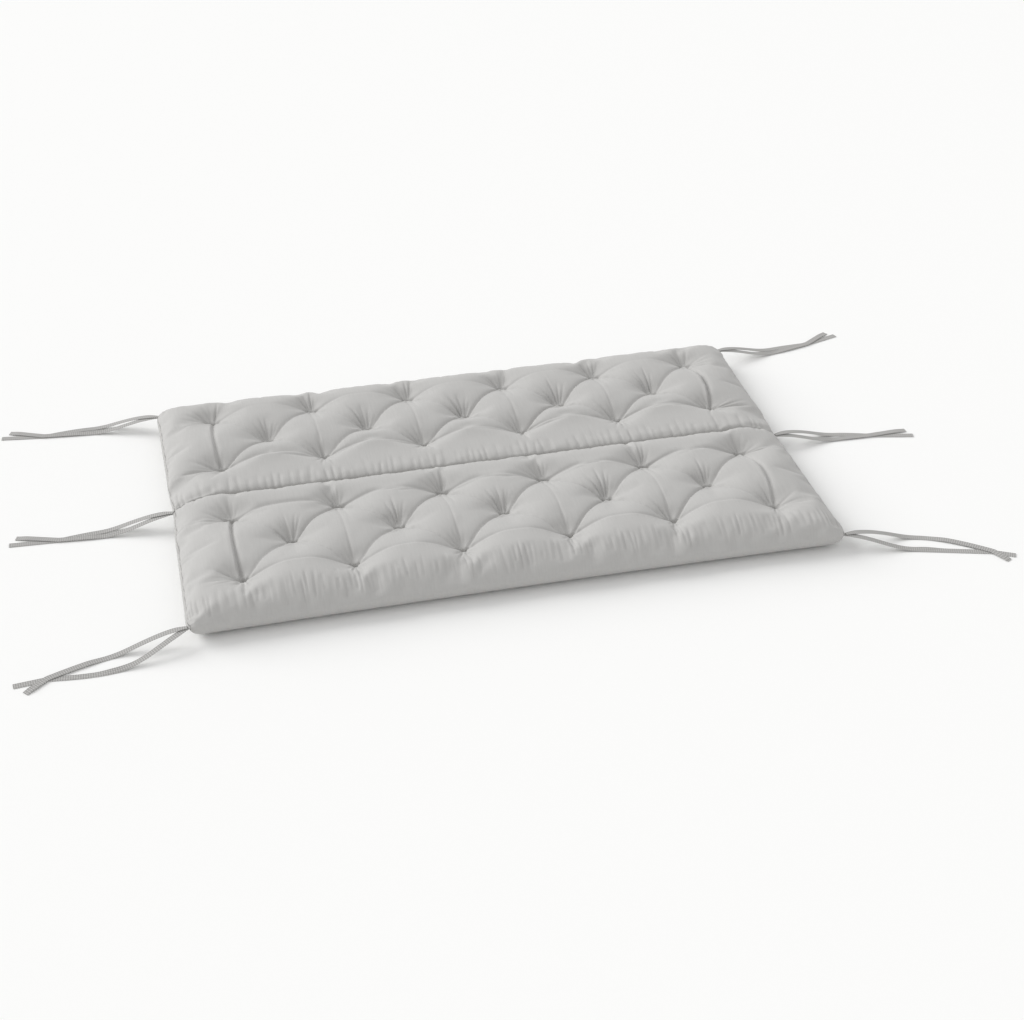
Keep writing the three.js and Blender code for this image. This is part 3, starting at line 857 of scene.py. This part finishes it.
def make_tail(tie, tail, material):
    """One tail: its section lofted along the route, with square cut ends."""
    route, lean, along = tail_route(tie, tail)
    tangents = np.gradient(route, axis=0)
    points = []
    places_on_tape = []
    for place, tangent, turn, distance in zip(route, tangents, lean, along):
        tangent = Vector(tangent).normalized()
        across = Vector((0.0, 0.0, 1.0)).cross(tangent).normalized()
        across.rotate(Quaternion(tangent, turn * tie["end"]))
        normal = tangent.cross(across)
        width = TAPE_ROOT_WIDTH + (TAPE_WIDTH - TAPE_ROOT_WIDTH) * smoothstep(0.0, TAPE_TAPER, distance)
        for u, v in TAPE_SECTION:
            points.append(Vector(place) + across * (u * width / 2) + normal * (v * TAPE_THICKNESS / 2))
            places_on_tape.append((u * TAPE_WIDTH / 2, distance))
    sides = len(TAPE_SECTION)
    faces = [list(range(sides))[::-1], [TAPE_STEPS * sides + k for k in range(sides)]]
    for step in range(TAPE_STEPS):
        for k in range(sides):
            a = step * sides + k
            b = step * sides + (k + 1) % sides
            faces.append((a, b, b + sides, a + sides))
    name = f"tape_{tie['name']}_{tail}"
    tape = new_piece(name, points, faces)
    layer = tape.data.uv_layers.new(name="along_tape")
    for corner in tape.data.loops:
        layer.data[corner.index].uv = places_on_tape[corner.vertex_index]
    bpy.ops.object.shade_smooth_by_angle(angle=math.radians(TAPE_EDGE_ANGLE))
    tape.data.materials.append(material)
    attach(tape, "root")
    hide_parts(f"tie_{tie['name']}_{tail}")


def linear(hex_colour):
    """An sRGB hex colour as linear red, green, blue and alpha."""
    parts = [int(hex_colour[i : i + 2], 16) / 255.0 for i in (1, 3, 5)]
    return [p / 12.92 if p <= 0.04045 else ((p + 0.055) / 1.055) ** 2.4 for p in parts] + [1.0]


def make_camera():
    azimuth = math.radians(CAMERA_AZIMUTH)
    elevation = math.radians(CAMERA_ELEVATION)
    back = Vector((
        math.sin(azimuth) * math.cos(elevation),
        -math.cos(azimuth) * math.cos(elevation),
        math.sin(elevation),
    ))
    data = bpy.data.cameras.new("camera")
    data.lens = CAMERA_LENS
    data.sensor_width = SENSOR_WIDTH
    camera = bpy.data.objects.new("camera", data)
    camera.location = Vector(CAMERA_TARGET) + back * CAMERA_DISTANCE
    camera.rotation_euler = back.to_track_quat("Z", "Y").to_euler()
    bpy.context.scene.collection.objects.link(camera)
    bpy.context.scene.camera = camera


def add_node(tree, kind, settings=None, values=None, links=None):
    """Adds a node, sets its properties and socket values, and links its sockets from other nodes."""
    node = tree.nodes.new(kind)
    for name, value in (settings or {}).items():
        setattr(node, name, value)
    for name, value in (values or {}).items():
        node.inputs[name].default_value = value
    for name, (source, output) in (links or {}).items():
        tree.links.new(source.outputs[output], node.inputs[name])
    return node


def new_material(name):
    material = bpy.data.materials.new(name)
    material.use_nodes = True
    tree = material.node_tree
    tree.nodes.clear()
    return material, tree


def wave_scale(spacing):
    """The scale of a Wave texture with bands this far apart. At a scale of 1 they repeat every pi / 10."""
    return math.pi / (10 * spacing)


def cotton_cloth():
    """Plain-woven cotton: matt and soft, with a faint fuzz at the edges, uneven yarn, a fine weave and a
    painted shade line beside each end seam.
    """
    material, tree = new_material("plain_woven_cotton")
    laid = add_node(tree, "ShaderNodeAttribute", {"attribute_name": "laid_out"})
    place = (laid, "Vector")
    # Thicker stretches of yarn, long across the bench's depth and narrow along its length
    slub_map = add_node(tree, "ShaderNodeMapping",
                        values={"Scale": (1 / SLUB_WIDTH, 1 / SLUB_LENGTH, 1.0)}, links={"Vector": place})
    slubs = add_node(tree, "ShaderNodeTexNoise",
                     values={"Scale": 1.0, "Detail": 2.0}, links={"Vector": (slub_map, "Vector")})
    colour = add_node(tree, "ShaderNodeMix", {"data_type": "RGBA"},
                      {MIX_A: linear(CLOTH_SHADE), MIX_B: linear(CLOTH_COLOUR)}, {"Factor": (slubs, "Fac")})
    # Painted shade: a darker line beside each end seam, standing in for the shadow in the groove there
    parts = add_node(tree, "ShaderNodeSeparateXYZ", links={"Vector": place})
    from_middle = add_node(tree, "ShaderNodeMath", {"operation": "ABSOLUTE"}, links={0: (parts, "X")})
    in_painted_seam_shade = add_node(tree, "ShaderNodeMath", {"operation": "COMPARE"},
                       {1: SEAM_AT_END - PAINTED_SEAM_SHADE_INSET, 2: PAINTED_SEAM_SHADE_HALF_WIDTH},
                       {0: (from_middle, "Value")})
    # The painted seam shade, mixed into the cloth's colour
    sewn = add_node(tree, "ShaderNodeMix", {"data_type": "RGBA"}, {MIX_B: linear(PAINTED_SEAM_SHADE_COLOUR)},
                    {"Factor": (in_painted_seam_shade, "Value"), MIX_A: (colour, MIX_RESULT)})
    # The weave's threads are drawn about three times as coarse as real ones, so that they show
    warp = add_node(tree, "ShaderNodeTexWave", {"bands_direction": "X"},
                    {"Scale": wave_scale(THREAD_SPACING)}, {"Vector": place})
    weft = add_node(tree, "ShaderNodeTexWave", {"bands_direction": "Y"},
                    {"Scale": wave_scale(THREAD_SPACING)}, {"Vector": place})
    weave = add_node(tree, "ShaderNodeMath", {"operation": "MULTIPLY"},
                     links={0: (warp, "Fac"), 1: (weft, "Fac")})
    relief = add_node(tree, "ShaderNodeMath", {"operation": "ADD"},
                      links={0: (weave, "Value"), 1: (slubs, "Fac")})
    bump = add_node(tree, "ShaderNodeBump",
                    values={"Strength": CLOTH_BUMP, "Distance": THREAD_RELIEF},
                    links={"Height": (relief, "Value")})
    shader = add_node(tree, "ShaderNodeBsdfPrincipled",
                      values={"Roughness": CLOTH_ROUGHNESS, "IOR": COTTON_IOR,
                              "Specular IOR Level": COTTON_SPECULAR,
                              "Sheen Weight": CLOTH_SHEEN, "Sheen Roughness": SHEEN_ROUGHNESS},
                      links={"Base Color": (sewn, MIX_RESULT), "Normal": (bump, "Normal")})
    add_node(tree, "ShaderNodeOutputMaterial", links={"Surface": (shader, "BSDF")})
    return material


def ribbed_tape():
    """Woven cotton tape: ribs along its length, crossed by the weft, so that it shows a fine dotted face,
    with painted shade in the hollows between them.
    """
    material, tree = new_material("ribbed_cotton_tape")
    along = add_node(tree, "ShaderNodeUVMap", {"uv_map": "along_tape"})
    # The ribs and the weft are drawn about three times as coarse as real ones, so that they show
    ribs = add_node(tree, "ShaderNodeTexWave", {"bands_direction": "X"},
                    {"Scale": wave_scale(TAPE_RIB_SPACING)}, {"Vector": (along, "UV")})
    weft = add_node(tree, "ShaderNodeTexWave", {"bands_direction": "Y"},
                    {"Scale": wave_scale(TAPE_WEFT_SPACING)}, {"Vector": (along, "UV")})
    crossing = add_node(tree, "ShaderNodeMath", {"operation": "MULTIPLY"},
                        links={0: (ribs, "Fac"), 1: (weft, "Fac")})
    relief = add_node(tree, "ShaderNodeMath", {"operation": "SQRT"}, links={0: (crossing, "Value")})
    # The weave's relief also sets the colour: painted shade, darker where the relief is low, in the hollows
    # between ribs and weft
    colour = add_node(tree, "ShaderNodeMix", {"data_type": "RGBA"},
                      {MIX_A: linear(TAPE_HOLLOW_PAINTED_SHADE), MIX_B: linear(TAPE_COLOUR)}, {"Factor": (relief, "Value")})
    bump = add_node(tree, "ShaderNodeBump",
                    values={"Strength": TAPE_BUMP, "Distance": THREAD_RELIEF},
                    links={"Height": (relief, "Value")})
    shader = add_node(tree, "ShaderNodeBsdfPrincipled",
                      values={"Roughness": TAPE_ROUGHNESS, "IOR": COTTON_IOR,
                              "Specular IOR Level": COTTON_SPECULAR},
                      links={"Base Color": (colour, MIX_RESULT), "Normal": (bump, "Normal")})
    add_node(tree, "ShaderNodeOutputMaterial", links={"Surface": (shader, "BSDF")})
    return material


def make_studio():
    bpy.ops.object.select_all(action="DESELECT")
    bpy.ops.mesh.primitive_plane_add(size=FLOOR_SIZE)
    floor = bpy.context.object
    floor.name = "studio_floor"
    material, tree = new_material("matt_white_floor")
    shader = add_node(tree, "ShaderNodeBsdfPrincipled",
                      values={"Base Color": linear(FLOOR_COLOUR), "Roughness": 1.0})
    add_node(tree, "ShaderNodeOutputMaterial", links={"Surface": (shader, "BSDF")})
    floor.data.materials.append(material)

    world = bpy.data.worlds.new("studio")
    world.use_nodes = True
    sky = world.node_tree.nodes["Background"]
    sky.inputs["Color"].default_value = linear(SKY_COLOUR)
    sky.inputs["Strength"].default_value = SKY_STRENGTH
    bpy.context.scene.world = world

    key = bpy.data.lights.new("key_light", "SUN")
    key.angle = math.radians(KEY_SPREAD)
    key.energy = KEY_STRENGTH
    lamp = bpy.data.objects.new("key_light", key)
    lamp.location = KEY_FROM
    lamp.rotation_euler = Vector(KEY_FROM).to_track_quat("Z", "Y").to_euler()
    bpy.context.scene.collection.objects.link(lamp)
    bpy.context.scene.view_settings.view_transform = "Standard"


make_camera()
tape_material = ribbed_tape()
for tie in TIES:
    for tail in ("back", "front"):
        make_tail(tie, tail, tape_material)
make_cushion()
make_studio()
